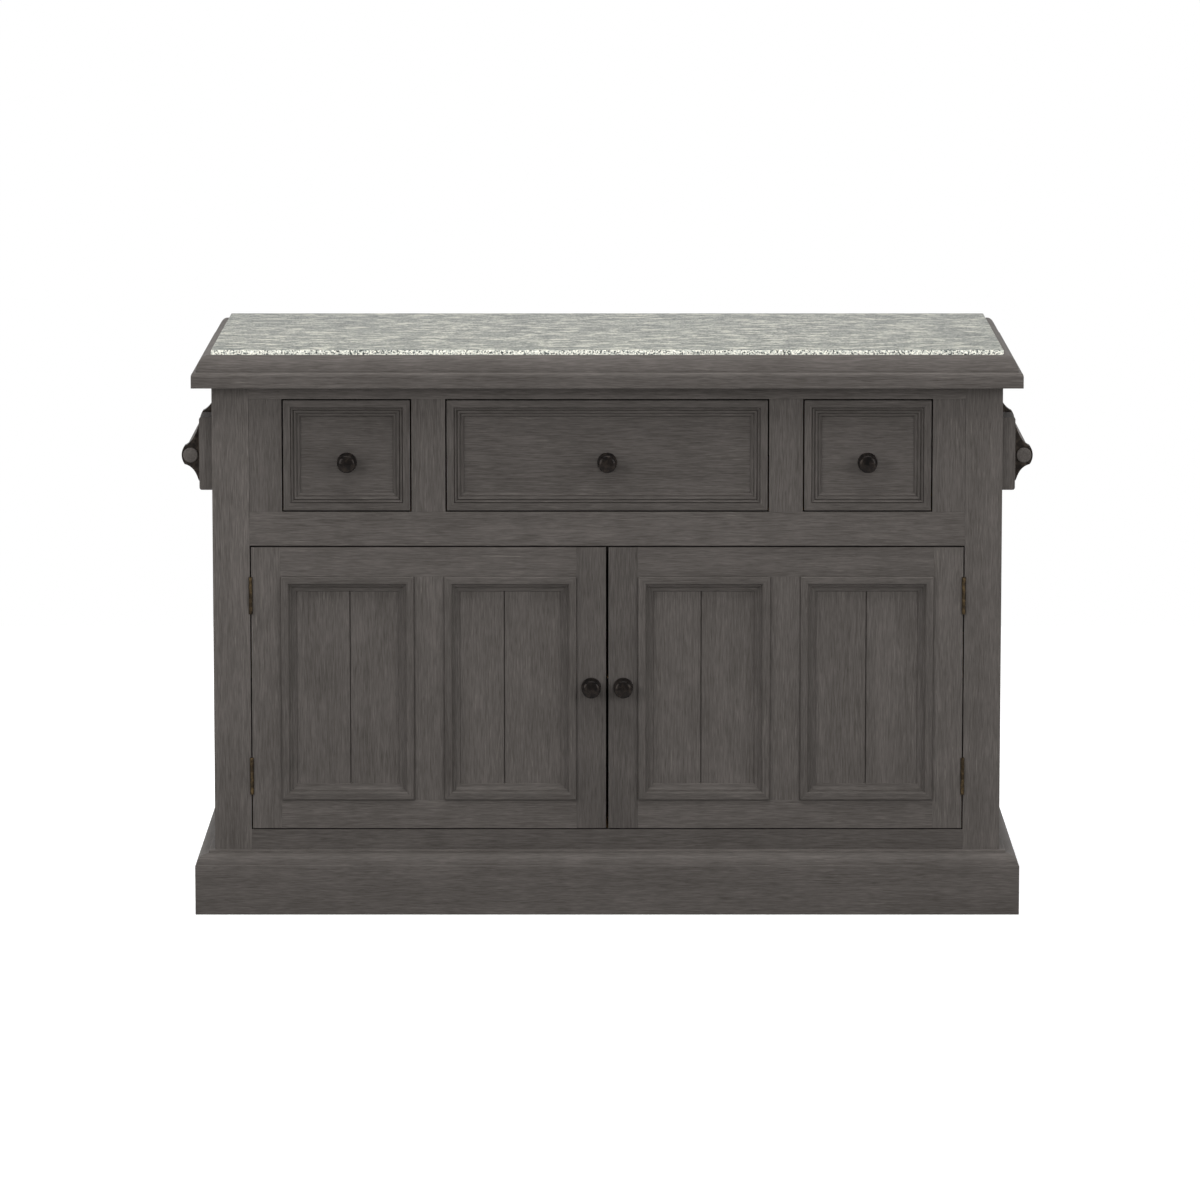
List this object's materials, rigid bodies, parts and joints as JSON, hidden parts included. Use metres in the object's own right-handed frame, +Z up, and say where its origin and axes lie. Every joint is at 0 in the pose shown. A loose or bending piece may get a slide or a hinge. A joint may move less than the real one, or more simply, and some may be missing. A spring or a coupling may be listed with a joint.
{
  "type": "kitchen island unit",
  "caption": "Painted wooden kitchen island with an inlaid granite top, drawers over panelled doors, a moulded plinth and a towel bar on each side.",
  "frame": {"origin": "on the floor, under the middle of the island", "axes": "+Z up, the front with its drawers and doors faces -Y, +X along the front to the right"},
  "size_m": [1.3696, 0.635, 0.914],
  "materials": {
    "painted_wood": "satin",
    "painted_panel": "satin",
    "bare_wood": "matte",
    "granite": "polished",
    "bronze": "satin",
    "aged_brass": "satin",
    "cast_iron": "satin"
  },
  "bodies": {
    "cabinet": {"plinth_front": "painted_wood", "plinth_right": "painted_wood", "plinth_rear": "painted_wood", "plinth_left": "painted_wood", "top_frame_front": "painted_wood", "top_frame_right": "painted_wood", "top_frame_rear": "painted_wood", "top_frame_left": "painted_wood", "sub_top": "bare_wood", "stone_top": "granite", "stile_left": "painted_wood", "stile_right": "painted_wood", "drawer_stile_left_inner": "painted_wood", "drawer_stile_left_outer": "painted_wood", "drawer_stile_right_inner": "painted_wood", "drawer_stile_right_outer": "painted_wood", "rail_top": "painted_wood", "rail_middle": "painted_wood", "rail_bottom": "painted_wood", "side_left": "painted_wood", "side_right": "painted_wood", "back": "painted_wood", "cabinet_floor": "bare_wood", "shelf": "bare_wood", "drawer_deck": "bare_wood", "hinge_left_lower_frame_leaf": "aged_brass", "hinge_left_upper_frame_leaf": "aged_brass", "hinge_right_lower_frame_leaf": "aged_brass", "hinge_right_upper_frame_leaf": "aged_brass", "towel_block_left_front": "painted_wood", "towel_block_left_rear": "painted_wood", "towel_bracket_left_front": "cast_iron", "towel_bracket_left_rear": "cast_iron", "towel_bar_left": "painted_wood", "towel_block_right_front": "painted_wood", "towel_block_right_rear": "painted_wood", "towel_bracket_right_front": "cast_iron", "towel_bracket_right_rear": "cast_iron", "towel_bar_right": "painted_wood"},
    "door_left": {"door_left_frame": "painted_wood", "door_left_panel_inner": "painted_panel", "door_left_panel_outer": "painted_panel", "door_left_knob": "bronze", "hinge_left_lower_door_leaf": "aged_brass", "hinge_left_upper_door_leaf": "aged_brass"},
    "door_right": {"door_right_frame": "painted_wood", "door_right_panel_inner": "painted_panel", "door_right_panel_outer": "painted_panel", "door_right_knob": "bronze", "hinge_right_lower_door_leaf": "aged_brass", "hinge_right_upper_door_leaf": "aged_brass"},
    "drawer_left": {"drawer_left_front": "painted_panel", "drawer_left_box": "bare_wood", "drawer_left_knob": "bronze"},
    "drawer_centre": {"drawer_centre_front": "painted_panel", "drawer_centre_box": "bare_wood", "drawer_centre_knob": "bronze"},
    "drawer_right": {"drawer_right_front": "painted_panel", "drawer_right_box": "bare_wood", "drawer_right_knob": "bronze"}
  },
  "joints": [
    {"name": "door_left_hinge", "type": "hinge", "parent": "cabinet", "child": "door_left", "pos_m": [-0.5736, -0.2877, 0.366], "axis": [0, 0, -1], "range_deg": [0, 165]},
    {"name": "door_right_hinge", "type": "hinge", "parent": "cabinet", "child": "door_right", "pos_m": [0.5736, -0.2877, 0.366], "axis": [0, 0, 1], "range_deg": [0, 165]},
    {"name": "drawer_left_slide", "type": "slide", "parent": "cabinet", "child": "drawer_left", "axis": [0, -1, 0], "range_m": [0, 0.38]},
    {"name": "drawer_centre_slide", "type": "slide", "parent": "cabinet", "child": "drawer_centre", "axis": [0, -1, 0], "range_m": [0, 0.38]},
    {"name": "drawer_right_slide", "type": "slide", "parent": "cabinet", "child": "drawer_right", "axis": [0, -1, 0], "range_m": [0, 0.38]}
  ]
}
